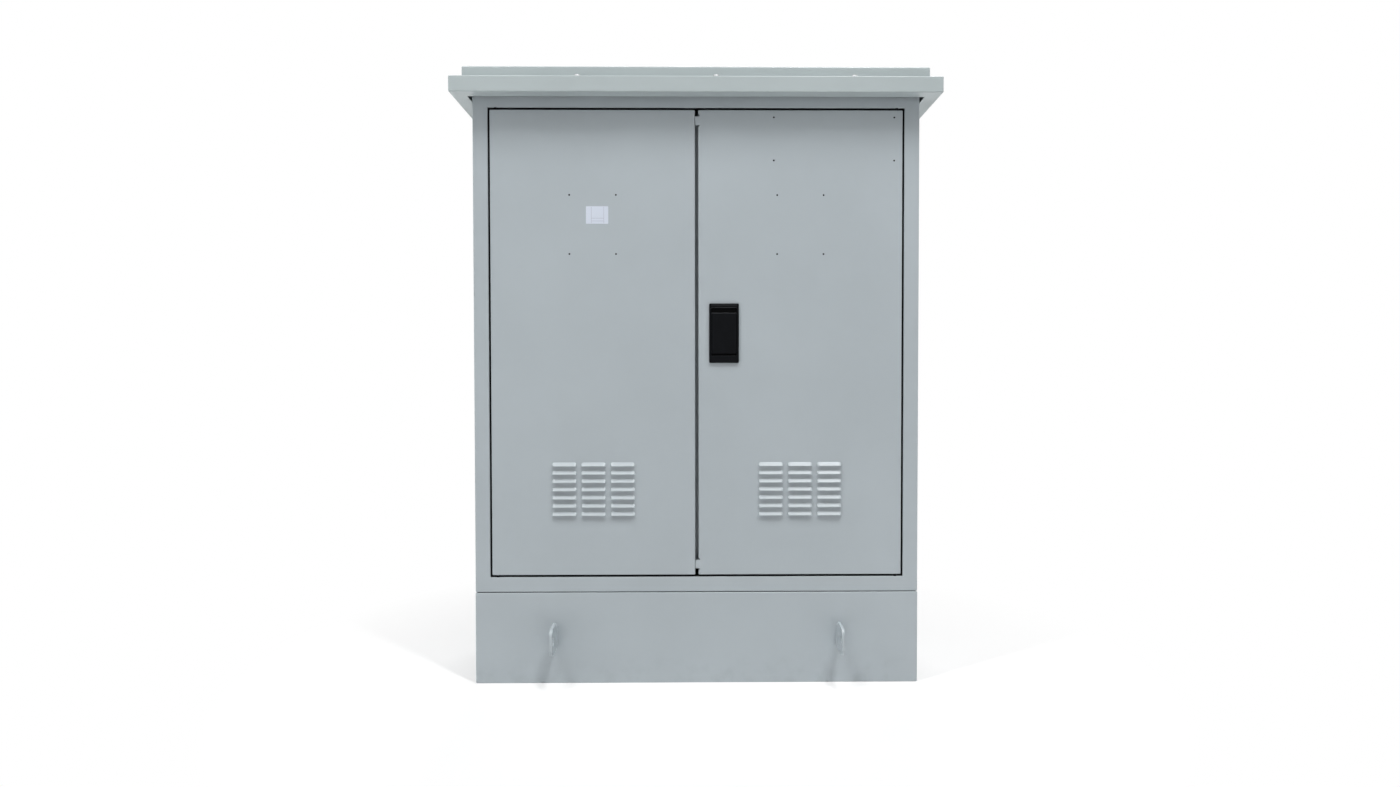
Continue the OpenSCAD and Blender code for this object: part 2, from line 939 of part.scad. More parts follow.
plinth_front();
plinth_back();
plinth_left();
plinth_right();
front_lugs();
back_lugs();
floor_pan();
gland_plate();
left_wall();
right_wall();
back_wall();
top_plate();
left_stile();
right_stile();
top_rail();
bottom_rail();
centre_post();
door_seal();
roof_hood();
roof_cap();
roof_bolts();
hinge_pins();
left_door();
left_stiffeners();
left_hinge_blocks();
right_door();
right_stiffeners();
right_hinge_blocks();
latch_escutcheon();
latch_pin();
latch_paddle();
lock_case();
lock_rods();
rod_guides();
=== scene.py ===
import json
import math

import bmesh
import bpy
from mathutils import Matrix, Vector


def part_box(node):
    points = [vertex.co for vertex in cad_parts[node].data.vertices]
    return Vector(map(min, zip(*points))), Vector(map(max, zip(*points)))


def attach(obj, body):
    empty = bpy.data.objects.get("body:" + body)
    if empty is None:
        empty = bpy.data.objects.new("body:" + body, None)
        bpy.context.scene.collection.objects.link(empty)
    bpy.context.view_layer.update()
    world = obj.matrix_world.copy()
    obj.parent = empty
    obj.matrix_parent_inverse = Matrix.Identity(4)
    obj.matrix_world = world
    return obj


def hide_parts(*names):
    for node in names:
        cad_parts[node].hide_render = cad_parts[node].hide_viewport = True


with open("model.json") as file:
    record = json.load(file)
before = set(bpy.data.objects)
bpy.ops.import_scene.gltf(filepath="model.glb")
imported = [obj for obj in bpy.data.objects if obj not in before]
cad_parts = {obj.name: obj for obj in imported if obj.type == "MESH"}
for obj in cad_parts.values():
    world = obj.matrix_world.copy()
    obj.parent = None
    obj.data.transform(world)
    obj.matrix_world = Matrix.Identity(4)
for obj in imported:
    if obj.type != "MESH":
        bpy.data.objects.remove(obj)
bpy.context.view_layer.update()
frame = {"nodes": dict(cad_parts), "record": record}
nodes = frame["nodes"]
mm = 0.001
sheet = 2 * mm  # body, door and roof sheet


# small tools for working in edit mode

def deselectAll():
    if bpy.context.mode != "OBJECT":
        bpy.ops.object.mode_set(mode="OBJECT")
    bpy.ops.object.select_all(action="DESELECT")


def activate(piece):
    deselectAll()
    piece.select_set(True)
    bpy.context.view_layer.objects.active = piece


def editMesh(piece):
    if bpy.context.mode != "EDIT_MESH" or bpy.context.object != piece:
        activate(piece)
        bpy.ops.object.mode_set(mode="EDIT")
    return bmesh.from_edit_mesh(piece.data)


def pickFaces(piece, test):
    mesh = editMesh(piece)
    bpy.ops.mesh.select_mode(type="FACE")
    bpy.ops.mesh.select_all(action="DESELECT")
    for face in mesh.faces:
        if test(face.calc_center_median(), face.normal):
            face.select_set(True)
    bmesh.update_edit_mesh(piece.data)


def pickEdges(piece, test):
    mesh = editMesh(piece)
    bpy.ops.mesh.select_mode(type="EDGE")
    bpy.ops.mesh.select_all(action="DESELECT")
    for edge in mesh.edges:
        if test(edge.verts[0].co, edge.verts[1].co):
            edge.select_set(True)
    bmesh.update_edit_mesh(piece.data)


def pickVerts(piece, test):
    mesh = editMesh(piece)
    bpy.ops.mesh.select_mode(type="VERT")
    bpy.ops.mesh.select_all(action="DESELECT")
    for vert in mesh.verts:
        if test(vert.co):
            vert.select_set(True)
    bmesh.update_edit_mesh(piece.data)


# edges where the surface turns by more than an angle in degrees
def pickCreases(piece, degrees, test=lambda a, b: True):
    mesh = editMesh(piece)
    bpy.ops.mesh.select_mode(type="EDGE")
    bpy.ops.mesh.select_all(action="DESELECT")
    for edge in mesh.edges:
        turn = edge.calc_face_angle(0)
        if turn > math.radians(degrees) and test(edge.verts[0].co, edge.verts[1].co):
            edge.select_set(True)
    bmesh.update_edit_mesh(piece.data)


def near(a, b, slack=0.02 * mm):
    return abs(a - b) < slack


def isCorner(point, low, high):
    return all(near(point[i], low[i]) or near(point[i], high[i]) for i in range(3))


def extrude(move):
    bpy.ops.mesh.extrude_region_move(TRANSFORM_OT_translate={"value": move})


def bevelPicked(width, segments=4, affect="EDGES"):
    bpy.ops.mesh.bevel(offset=width, offset_type="OFFSET", segments=segments, affect=affect, profile=0.5,
                       clamp_overlap=True)


def deletePicked(kind="FACE"):
    bpy.ops.mesh.delete(type=kind)


def bisectPicked(point, normal):
    bpy.ops.mesh.bisect(plane_co=point, plane_no=normal)


def addBox(name, low, high):
    deselectAll()
    low, high = Vector(low), Vector(high)
    bpy.ops.mesh.primitive_cube_add(size=1, location=(low + high) / 2, scale=high - low)
    piece = bpy.context.object
    piece.name = name
    bpy.ops.object.transform_apply(location=True, rotation=True, scale=True)
    return piece


def addPlate(name, corner, across, up):
    deselectAll()
    across, up, corner = Vector(across), Vector(up), Vector(corner)
    bpy.ops.mesh.primitive_plane_add(size=1)
    piece = bpy.context.object
    piece.name = name
    middle = corner + across / 2 + up / 2
    normal = across.cross(up).normalized()
    turn = Matrix((across, up, normal)).transposed().to_4x4()
    piece.matrix_world = Matrix.Translation(middle) @ turn
    bpy.ops.object.transform_apply(location=True, rotation=True, scale=True)
    return piece


def addRod(name, middle, radius, depth, axis, sides=32):
    deselectAll()
    turns = {"X": (0, math.pi / 2, 0), "Y": (math.pi / 2, 0, 0), "Z": (0, 0, 0)}
    bpy.ops.mesh.primitive_cylinder_add(vertices=sides, radius=radius, depth=depth, location=middle,
                                        rotation=turns[axis])
    piece = bpy.context.object
    piece.name = name
    bpy.ops.object.transform_apply(location=True, rotation=True, scale=True)
    return piece


def applyModifier(piece, kind, **values):
    activate(piece)
    modifier = piece.modifiers.new(kind.title(), kind)
    for key, value in values.items():
        setattr(modifier, key, value)
    bpy.ops.object.modifier_apply(modifier=modifier.name)


def thicken(piece, thickness):
    applyModifier(piece, "SOLIDIFY", thickness=thickness, offset=-1, use_even_offset=True)


def joinPieces(name, pieces):
    deselectAll()
    for piece in pieces:
        piece.select_set(True)
    bpy.context.view_layer.objects.active = pieces[0]
    if len(pieces) > 1:
        bpy.ops.object.join()
    pieces[0].name = name
    return pieces[0]


def cutAway(piece, cutters):
    tool = joinPieces("cutter", cutters)
    applyModifier(piece, "BOOLEAN", operation="DIFFERENCE", solver="EXACT", object=tool)
    bpy.data.objects.remove(tool)


def copyPiece(piece, name, move):
    twin = piece.copy()
    twin.data = piece.data.copy()
    twin.name = name
    bpy.context.scene.collection.objects.link(twin)
    twin.data.transform(Matrix.Translation(move))
    return twin


def mirrorPiece(piece, name, scale):
    twin = copyPiece(piece, name, (0, 0, 0))
    twin.data.transform(Matrix.Diagonal((*scale, 1)))
    activate(twin)
    editMesh(twin)
    bpy.ops.mesh.select_all(action="SELECT")
    bpy.ops.mesh.flip_normals()
    bpy.ops.object.mode_set(mode="OBJECT")
    return twin


def weldDoubles(piece):
    activate(piece)
    editMesh(piece)
    bpy.ops.mesh.select_all(action="SELECT")
    bpy.ops.mesh.remove_doubles(threshold=0.01 * mm)
    bpy.ops.object.mode_set(mode="OBJECT")


# a box of sheet: the sides named in openings are cut out but for a flange, or left out where it is None
def addTray(name, low, high, openings, bend):
    piece = addBox(name, low, high)
    for (axis, sign), flange in openings.items():
        pickFaces(piece, lambda c, n: n[axis] * sign > 0.9 and near(c[axis], (low, high)[sign > 0][axis]))
        if flange:
            bpy.ops.mesh.inset(thickness=flange)
        deletePicked()
    pickCreases(piece, 60, lambda a, b: isCorner(a, low, high) and isCorner(b, low, high))
    bevelPicked(bend)
    return piece


def finishPiece(piece, material, body, stoodFor=(), smooth=35):
    activate(piece)
    bpy.ops.object.shade_smooth_by_angle(angle=math.radians(smooth))
    applyModifier(piece, "WEIGHTED_NORMAL", keep_sharp=True, weight=80)
    piece.data.materials.clear()
    piece.data.materials.append(material)
    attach(piece, body)
    if stoodFor:
        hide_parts(*stoodFor)
    return piece


# materials

def newMaterial(name):
    material = bpy.data.materials.new(name)
    material.use_nodes = True
    tree = material.node_tree
    shader = tree.nodes["Principled BSDF"]
    place = tree.nodes.new("ShaderNodeTexCoord")
    return material, tree, shader, place.outputs["Object"]


def addNoise(tree, place, scale, detail=2.0):
    noise = tree.nodes.new("ShaderNodeTexNoise")
    noise.inputs["Scale"].default_value = scale
    noise.inputs["Detail"].default_value = detail
    tree.links.new(place, noise.inputs["Vector"])
    return noise.outputs["Fac"]


def addRamp(tree, value, stops):
    ramp = tree.nodes.new("ShaderNodeValToRGB")
    elements = ramp.color_ramp.elements
    while len(elements) < len(stops):
        elements.new(0.5)
    for element, (at, colour) in zip(elements, stops):
        element.position = at
        element.color = (*colour, 1)
    tree.links.new(value, ramp.inputs["Fac"])
    return ramp.outputs["Color"]


def addMix(tree, share, first, second):
    mix = tree.nodes.new("ShaderNodeMix")
    mix.data_type = "RGBA"
    tree.links.new(share, mix.inputs["Factor"])
    for socket, colour in ((mix.inputs["A"], first), (mix.inputs["B"], second)):
        if isinstance(colour, tuple):
            socket.default_value = (*colour, 1)
        else:
            tree.links.new(colour, socket)
    return mix.outputs["Result"]


def addMap(tree, value, low, high, fromLow=0.0, fromHigh=1.0):
    spread = tree.nodes.new("ShaderNodeMapRange")
    for socket, number in (("From Min", fromLow), ("From Max", fromHigh), ("To Min", low), ("To Max", high)):
        spread.inputs[socket].default_value = number
    tree.links.new(value, spread.inputs["Value"])
    return spread.outputs["Result"]


def addBump(tree, shader, layers):
    normal = None
    for height, distance in layers:
        bump = tree.nodes.new("ShaderNodeBump")
        bump.inputs["Distance"].default_value = distance
        bump.inputs["Strength"].default_value = 1.0
        tree.links.new(height, bump.inputs["Height"])
        if normal is not None:
            tree.links.new(normal, bump.inputs["Normal"])
        normal = bump.outputs["Normal"]
    tree.links.new(normal, shader.inputs["Normal"])


def scaled(colour, factor):
    return tuple(c * factor for c in colour)


paintValues = {
    "colour": (0.402, 0.447, 0.474),
    "roofColour": (0.410, 0.462, 0.470),
    "shift": 0.03,
    "roughness": (0.3, 0.4),
    "peelScale": 520.0,
    "peel": 0.012 * mm,
    "waveScale": 3.5,
    "wave": 0.5 * mm,
}


def makePaint(name, colour, dirtTop=None):
    v = paintValues
    material, tree, shader, place = newMaterial(name)
    broad = addNoise(tree, place, v["waveScale"], 3.0)
    fine = addNoise(tree, place, v["peelScale"], 2.0)
    base = addRamp(tree, broad, [(0.3, scaled(colour, 1 - v["shift"])), (0.7, scaled(colour, 1 + v["shift"]))])
    if dirtTop is not None:
        base = addDirt(tree, place, base, colour, dirtTop)
    tree.links.new(base, shader.inputs["Base Color"])
    patches = addNoise(tree, place, 14.0, 4.0)
    tree.links.new(addMap(tree, patches, v["roughness"][0], v["roughness"][1]), shader.inputs["Roughness"])
    shader.inputs["Specular IOR Level"].default_value = 0.45
    addBump(tree, shader, [(broad, v["wave"]), (fine, v["peel"])])
    return material


# dust and scuffs that fade out above the ground
def addDirt(tree, place, base, colour, top):
    split = tree.nodes.new("ShaderNodeSeparateXYZ")
    tree.links.new(place, split.inputs["Vector"])
    low = addMap(tree, split.outputs["Z"], 1.0, 0.0, 0.0, top)
    smears = addMap(tree, addNoise(tree, place, 22.0, 6.0), 0.0, 1.0, 0.48, 0.75)
    share = tree.nodes.new("ShaderNodeMath")
    share.operation = "MULTIPLY"
    tree.links.new(low, share.inputs[0])
    tree.links.new(smears, share.inputs[1])
    soft = tree.nodes.new("ShaderNodeMath")
    soft.operation = "MULTIPLY"
    soft.inputs[1].default_value = 0.45
    tree.links.new(share.outputs["Value"], soft.inputs[0])
    return addMix(tree, soft.outputs["Value"], base, scaled(colour, 0.72))


def makeZinc(name, colour=(0.36, 0.37, 0.375)):
    material, tree, shader, place = newMaterial(name)
    grain = tree.nodes.new("ShaderNodeTexVoronoi")
    grain.inputs["Scale"].default_value = 90.0
    tree.links.new(place, grain.inputs["Vector"])
    tint = addRamp(tree, grain.outputs["Distance"], [(0.0, scaled(colour, 0.9)), (0.6, scaled(colour, 1.08))])
    tree.links.new(tint, shader.inputs["Base Color"])
    shader.inputs["Metallic"].default_value = 1.0
    blotches = addNoise(tree, place, 60.0, 3.0)
    tree.links.new(addMap(tree, blotches, 0.42, 0.6), shader.inputs["Roughness"])
    addBump(tree, shader, [(blotches, 0.02 * mm)])
    return material


# black powder coat, lighter where it faces up: dust together with a painted highlight from the overhead light
def makeBlack(name, colour=(0.0028, 0.0033, 0.0044), dustAndTopHighlight=(0.05, 0.053, 0.058)):
    material, tree, shader, place = newMaterial(name)
    fine = addNoise(tree, place, 1400.0, 2.0)
    broad = addNoise(tree, place, 40.0, 3.0)
    tint = addRamp(tree, broad, [(0.3, scaled(colour, 0.85)), (0.7, scaled(colour, 1.2))])
    facing = tree.nodes.new("ShaderNodeTexCoord")
    split = tree.nodes.new("ShaderNodeSeparateXYZ")
    tree.links.new(facing.outputs["Normal"], split.inputs["Vector"])
    # painted highlight and dust: faces that point up get a lighter colour, as if lit from above
    dustAndTopHighlightShare = addMap(tree, split.outputs["Z"], 0.0, 1.0, 0.15, 0.8)
    tree.links.new(addMix(tree, dustAndTopHighlightShare, tint, dustAndTopHighlight), shader.inputs["Base Color"])
    tree.links.new(addMap(tree, broad, 0.34, 0.46), shader.inputs["Roughness"])
    shader.inputs["Specular IOR Level"].default_value = 0.07
    addBump(tree, shader, [(fine, 0.01 * mm)])
    return material


def makeRubber(name, colour=(0.012, 0.012, 0.013)):
    material, tree, shader, place = newMaterial(name)
    pores = addNoise(tree, place, 900.0, 3.0)
    tint = addRamp(tree, pores, [(0.3, scaled(colour, 0.8)), (0.7, scaled(colour, 1.25))])
    tree.links.new(tint, shader.inputs["Base Color"])
    shader.inputs["Roughness"].default_value = 0.85
    shader.inputs["Specular IOR Level"].default_value = 0.25
    addBump(tree, shader, [(pores, 0.05 * mm)])
    return material


def makeFilm(name, colour):
    material, tree, shader, place = newMaterial(name)
    cloud = addNoise(tree, place, 60.0, 2.0)
    tint = addRamp(tree, cloud, [(0.3, scaled(colour, 0.985)), (0.7, colour)])
    tree.links.new(tint, shader.inputs["Base Color"])
    shader.inputs["Roughness"].default_value = 0.38
    return material


doorPaint = makePaint("doorPaint", paintValues["colour"])
bodyPaint = makePaint("bodyPaint", paintValues["colour"])
roofPaint = makePaint("roofPaint", paintValues["roofColour"])
plinthPaint = makePaint("plinthPaint", paintValues["colour"], dirtTop=0.09)
zinc = makeZinc("zinc")
black = makeBlack("black")
rubber = makeRubber("rubber")
labelFilm = makeFilm("labelFilm", (0.62, 0.67, 0.76))
labelInk = makeFilm("labelInk", (0.36, 0.37, 0.45))
print("materials ready")

cadFinish = {
    "painted_sheet": bodyPaint,
    "painted_roof": roofPaint,
    "painted_plinth": plinthPaint,
    "zinc": zinc,
    "black_coat": black,
    # the black door seal sits in the door gaps, where its black also paints the deep shade of the gaps
    "seal_rubber": rubber,
}
slotOf = {row["node"]: row["material_slot"] for row in frame["record"]["subparts"]}
for nodeName, node in nodes.items():
    node.data.materials.clear()
    node.data.materials.append(cadFinish[slotOf[nodeName]])

# cabinet body: one welded sheet shell with the folded door frame in its front
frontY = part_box("left_stile")[0].y
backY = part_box("back_wall")[0].y
sealHeight = 2 * mm  # the strip that the body stands on
bodyLow = Vector((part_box("left_stile")[0].x, frontY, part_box("left_stile")[0].z + sealHeight))
bodyHigh = Vector((-bodyLow.x, backY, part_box("left_stile")[1].z))
bodyValues = {
    "bend": 2.5 * mm,
    "backFlange": 20 * mm,
    "footFlange": 20 * mm,
    "stile": 40 * mm,
    "bottomRail": 42 * mm,
    "topRail": 66 * mm,
    "rebate": 32 * mm,
    "lip": 15 * mm,
    "keeper": 24 * mm,
    "boreRadius": 3.05 * mm,
    "pinInset": (21 * mm, 5.5 * mm),  # from the opening's side and from the front face
}


def makeBody():
    v = bodyValues
    openLow = Vector((bodyLow.x + v["stile"], frontY, bodyLow.z - sealHeight + v["bottomRail"]))
    openHigh = Vector((-openLow.x, frontY + v["rebate"], bodyHigh.z - v["topRail"]))
    sides = {(2, 1): None, (1, 1): v["backFlange"], (2, -1): v["footFlange"]}
    piece = addTray("bodyShell", bodyLow, bodyHigh, sides, v["bend"])

    def onFront(c, n):
        return n.y < -0.9 and near(c.y, frontY)

    for axis in (0, 2):
        for level in (openLow[axis], openHigh[axis]):
            normal = [0, 0, 0]
            normal[axis] = 1
            pickFaces(piece, onFront)
            bisectPicked((level, frontY, level), normal)
    pickFaces(piece, lambda c, n: onFront(c, n) and openLow.x < c.x < openHigh.x and openLow.z < c.z < openHigh.z)
    extrude((0, v["rebate"], 0))
    bpy.ops.mesh.inset(thickness=v["lip"])
    deletePicked()

    def roundOpening(a, b):
        return all(openLow.x - mm < p.x < openHigh.x + mm and openLow.z - mm < p.z < openHigh.z + mm for p in (a, b))

    pickCreases(piece, 60, roundOpening)
    bevelPicked(1.5 * mm, 3)
    bpy.ops.object.mode_set(mode="OBJECT")
    thicken(piece, sheet)
    cutters = []
    for z, lipZ in ((openLow.z, openLow.z), (openHigh.z, openHigh.z - v["lip"])):
        cutters.append(addBox("notch", (-v["keeper"] / 2, openHigh.y - 2 * mm, lipZ),
                              (v["keeper"] / 2, openHigh.y + 4 * mm, lipZ + v["lip"])))
        for side in (-1, 1):
            place = (side * (openHigh.x - v["pinInset"][0]), frontY + v["pinInset"][1], z)
            cutters.append(addRod("bore", place, v["boreRadius"], 12 * mm, "Z"))
    cutAway(piece, cutters)
    return finishPiece(piece, bodyPaint, "cabinet",
                       ("left_stile", "right_stile", "top_rail", "bottom_rail", "left_wall", "right_wall"))


def makeBackPanel():
    low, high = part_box("back_wall")
    piece = addBox("backPanel", low, high)
    pickCreases(piece, 60)
    bevelPicked(0.7 * mm, 2)
    return finishPiece(piece, bodyPaint, "cabinet", ("back_wall",))


# black rubber strip between body and plinth; its black also paints the shade line of the seam
def makeSealAndSeamShade():
    inset, wide = 4 * mm, 14 * mm
    low = Vector((bodyLow.x + inset, frontY + inset, bodyLow.z - sealHeight))
    high = Vector((bodyHigh.x - inset, backY - inset, bodyLow.z + 0.2 * mm))
    piece = addBox("baseSealSeamShade", low, high)
    cutAway(piece, [addBox("middle", low + Vector((wide, wide, -mm)), high - Vector((wide, wide, -mm)))])
    pickCreases(piece, 60, lambda a, b: not near(a.z, b.z))
    bevelPicked(2 * mm, 3)
    bpy.ops.object.mode_set(mode="OBJECT")
    return finishPiece(piece, rubber, "cabinet")


makeBody()
makeBackPanel()
makeSealAndSeamShade()
print("body ready")

# roof
roofValues = {
    "bend": 2.5 * mm,
    "returnFlange": 40 * mm,
    "capBend": 4 * mm,
    "capFall": 6 * mm,
    "washer": (11.5 * mm, 1.4 * mm),
    "head": (9 * mm, 4.6 * mm),
    "socket": (4.2 * mm, 2.6 * mm),
}


def makeHood():
    low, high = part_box("roof_hood")
    piece = addTray("roofHood", low, high, {(2, -1): roofValues["returnFlange"]}, roofValues["bend"])
    bpy.ops.object.mode_set(mode="OBJECT")
    thicken(piece, sheet)
    return finishPiece(piece, roofPaint, "cabinet", ("roof_hood",))


def makeCap():
    v = roofValues
    low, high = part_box("roof_cap")
    piece = addBox("roofCap", low, high)
    pickVerts(piece, lambda p: near(p.y, high.y) and near(p.z, high.z))
    bpy.ops.transform.translate(value=(0, 0, -v["capFall"]))
    pickFaces(piece, lambda c, n: n.z < -0.9)
    deletePicked()
    pickCreases(piece, 60)
    bevelPicked(v["capBend"])
    bpy.ops.object.mode_set(mode="OBJECT")
    thicken(piece, sheet)
    return finishPiece(piece, roofPaint, "cabinet", ("roof_cap",))


def makeRoofBolts():
    v = roofValues
    low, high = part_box("roof_bolts")
    radius = 10 * mm
    xs = [low.x + radius, (low.x + high.x) / 2, high.x - radius]
    ys = [low.y + radius, high.y - radius]
    washerR, washerH = v["washer"]
    headR, headH = v["head"]
    socketR, socketH = v["socket"]
    start = Vector((xs[0], ys[0], low.z))
    washer = addRod("washer", start + Vector((0, 0, washerH / 2)), washerR, washerH, "Z")
    pickCreases(washer, 60)
    bevelPicked(0.4 * mm, 2)
    head = addRod("head", start + Vector((0, 0, washerH + headH / 2)), headR, headH, "Z")
    pickCreases(head, 60, lambda a, b: near(a.z, b.z) and a.z > start.z + washerH + headH / 2)
    bevelPicked(3.4 * mm, 5)
    bpy.ops.object.mode_set(mode="OBJECT")
    cutAway(head, [addRod("socket", start + Vector((0, 0, washerH + headH)), socketR, 2 * socketH, "Z", 6)])
    first = joinPieces("roofBolts", [washer, head])
    bolts = [first]
    for x in xs:
        for y in ys:
            if (x, y) != (xs[0], ys[0]):
                bolts.append(copyPiece(first, "bolt", (x - xs[0], y - ys[0], 0)))
    piece = joinPieces("roofBolts", bolts)
    return finishPiece(piece, zinc, "cabinet", ("roof_bolts",))


makeHood()
makeCap()
makeRoofBolts()
print("roof ready")

# plinth and lifting lugs
plinthValues = {
    "bend": 2.5 * mm,
    "sheet": 3 * mm,
    "topFlange": 40 * mm,
    "footFlange": 60 * mm,
    "anchorRadius": 7 * mm,
    "anchorPlace": (550 * mm, 190 * mm),
    "lugThickness": 8 * mm,
    "lugCorner": 20 * mm,
    "lugFoot": 8 * mm,
    "lugEye": 24 * mm,  # from the lug's outer edge to its hole
    "lugHole": 13 * mm,
    "lugChamfer": 1.2 * mm,
    "weld": 3 * mm,
}


def makePlinth():
    v = plinthValues
    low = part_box("plinth_front")[0]
    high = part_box("plinth_back")[1]
    piece = addTray("plinthFrame", low, high, {(2, 1): v["topFlange"], (2, -1): v["footFlange"]}, v["bend"])
    bpy.ops.object.mode_set(mode="OBJECT")
    thicken(piece, v["sheet"])
    x, y = v["anchorPlace"]
    cutAway(piece, [addRod("anchor", (sx * x, sy * y, 0), v["anchorRadius"], 20 * mm, "Z")
                    for sx in (-1, 1) for sy in (-1, 1)])
    return finishPiece(piece, plinthPaint, "cabinet",
                       ("plinth_front", "plinth_back", "plinth_left", "plinth_right"))


# a row of overlapping beads from one point to another
def weldBead(start, end, radius):
    start, end = Vector(start), Vector(end)
    count = int((end - start).length / (0.9 * radius))
    beads = []
    for i in range(count + 1):
        deselectAll()
        place = start.lerp(end, i / count)
        swell = 1 + 0.12 * math.sin(2.4 * i) + 0.06 * math.sin(5.1 * i)
        bpy.ops.mesh.primitive_uv_sphere_add(segments=12, ring_count=8, radius=radius * swell, location=place)
        bead = bpy.context.object
        bpy.ops.object.transform_apply(location=True, rotation=True, scale=True)
        beads.append(bead)
    return joinPieces("weld", beads)


def makeLug(x, face, outer, lowZ, highZ):
    v = plinthValues
    half = v["lugThickness"] / 2
    plate = addBox("lug", (x - half, min(face, outer), lowZ), (x + half, max(face, outer), highZ))
    for y, width, segments in ((outer, v["lugCorner"], 8), (face, v["lugFoot"], 1)):
        pickEdges(plate, lambda a, b: near(a.y, y) and near(b.y, y) and near(a.z, b.z))
        bevelPicked(width, segments)
    bpy.ops.object.mode_set(mode="OBJECT")
    eyeY = outer + math.copysign(v["lugEye"], face - outer)
    cutAway(plate, [addRod("eye", (x, eyeY, (lowZ + highZ) / 2), v["lugHole"], 6 * half, "X", 48)])
    pickCreases(plate, 60, lambda a, b: near(a.x, b.x) and not (near(a.y, face) and near(b.y, face)))
    bevelPicked(v["lugChamfer"], 3)
    bpy.ops.object.mode_set(mode="OBJECT")
    margin = v["lugFoot"] + 2 * mm
    welds = [weldBead((x + side * half, face, lowZ + margin), (x + side * half, face, highZ - margin), v["weld"])
             for side in (-1, 1)]
    return joinPieces("lug", [plate] + welds)


def makeLugs(name, node, faceSide):
    low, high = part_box(node)
    half = plinthValues["lugThickness"] / 2
    face, outer = (high.y, low.y) if faceSide > 0 else (low.y, high.y)
    pair = [makeLug(x, face, outer, low.z, high.z) for x in (low.x + half, high.x - half)]
    return finishPiece(joinPieces(name, pair), plinthPaint, "cabinet", (node,))


makePlinth()
makeLugs("frontLugs", "front_lugs", 1)
makeLugs("backLugs", "back_lugs", -1)
print("plinth ready")

# door leaves
leafValues = {
    "edge": 20 * mm,
    "lip": 12 * mm,
    "bend": 2.5 * mm,
    "louvreCount": (3, 7),
    "louvrePitch": (79 * mm, 22.3 * mm),
    "louvreSize": (66 * mm, 11 * mm),
    "louvreOut": 6.5 * mm,
    "louvreLip": 1.6 * mm,
    "louvreTaper": 1.5 * mm,
    "louvreCorner": 6.5 * mm,
    "louvreLow": 161 * mm,
    "signHole": 2.6 * mm,
    "plugDepth": 4 * mm,
    "signPattern": (125 * mm, 158 * mm),
    "signTop": 306 * mm,
    "platePattern": (324 * mm, 115 * mm),
    "platePlace": (184.5 * mm, 77 * mm),  # from the hinge edge and from the upper edge
    "tab": (8.2 * mm, 23 * mm),
    "tabRelief": 4 * mm,
    "tabInset": 29 * mm,
    "pinPlace": (15 * mm, 5.5 * mm),
    "pinBore": 3.05 * mm,
}
leafLow = Vector((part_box("left_door")[0].x, frontY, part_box("left_door")[0].z))
leafHigh = Vector((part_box("left_door")[1].x, frontY + leafValues["edge"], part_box("left_door")[1].z))


# one pressed louvre in its own rectangle of skin
def makeLouvre(corner):
    v = leafValues
    pitchX, pitchZ = v["louvrePitch"]
    width, height = v["louvreSize"]
    out = v["louvreOut"]
    rim = (pitchZ - height) / 2
    middleX = corner.x + pitchX / 2
    lowZ = corner.z + rim
    foot = (middleX, frontY, lowZ)
    piece = addPlate("louvre", corner, (pitchX, 0, 0), (0, 0, pitchZ))
    pickFaces(piece, lambda c, n: True)
    bpy.ops.mesh.inset(thickness=rim)
    bpy.ops.transform.resize(value=(width / (pitchX - 2 * rim), 1, 1), center_override=foot)
    pickVerts(piece, lambda p: near(p.z, lowZ + height) and near(abs(p.x - middleX), width / 2))
    bevelPicked(v["louvreCorner"], 4, "VERTICES")
    pickFaces(piece, lambda c, n: near(c.x, middleX, mm) and abs(c.z - lowZ - height / 2) < height / 4)
    extrude((0, -out, 0))
    lipShare = (width - 2 * v["louvreTaper"]) / width
    bpy.ops.transform.resize(value=(lipShare, 1, v["louvreLip"] / height), center_override=foot)
    pickFaces(piece, lambda c, n: n.z < -0.9)
    deletePicked()
    pickCreases(piece, 25)
    bevelPicked(0.8 * mm, 2)
    bpy.ops.object.mode_set(mode="OBJECT")
    return piece


def makeLeafPan(name):
    v = leafValues
    piece = addTray(name, leafLow, leafHigh, {(1, 1): v["lip"]}, v["bend"])
    countX, countZ = v["louvreCount"]
    pitchX, pitchZ = v["louvrePitch"]
    fieldX = (leafLow.x + leafHigh.x) / 2 - countX * pitchX / 2
    fieldZ = leafLow.z + v["louvreLow"] - (pitchZ - v["louvreSize"][1]) / 2

    def onFront(c, n):
        return n.y < -0.9 and near(c.y, frontY)

    for i in range(countX + 1):
        pickFaces(piece, onFront)
        bisectPicked((fieldX + i * pitchX, frontY, 0), (1, 0, 0))
    for i in range(countZ + 1):
        pickFaces(piece, onFront)
        bisectPicked((0, frontY, fieldZ + i * pitchZ), (0, 0, 1))
    pickFaces(piece, lambda c, n: onFront(c, n) and fieldX < c.x < fieldX + countX * pitchX
              and fieldZ < c.z < fieldZ + countZ * pitchZ)
    deletePicked()
    bpy.ops.object.mode_set(mode="OBJECT")
    first = makeLouvre(Vector((fieldX, frontY, fieldZ)))
    louvres = [first]
    for i in range(countX):
        for j in range(countZ):
            if i or j:
                louvres.append(copyPiece(first, "louvre", (i * pitchX, 0, j * pitchZ)))
    piece = joinPieces(name, [piece] + louvres)
    weldDoubles(piece)
    thicken(piece, sheet)
    return piece


def holePlaces(middleX, middleZ, pattern):
    return [Vector((middleX + sx * pattern[0] / 2, frontY, middleZ + sz * pattern[1] / 2))
            for sx in (-1, 1) for sz in (-1, 1)]
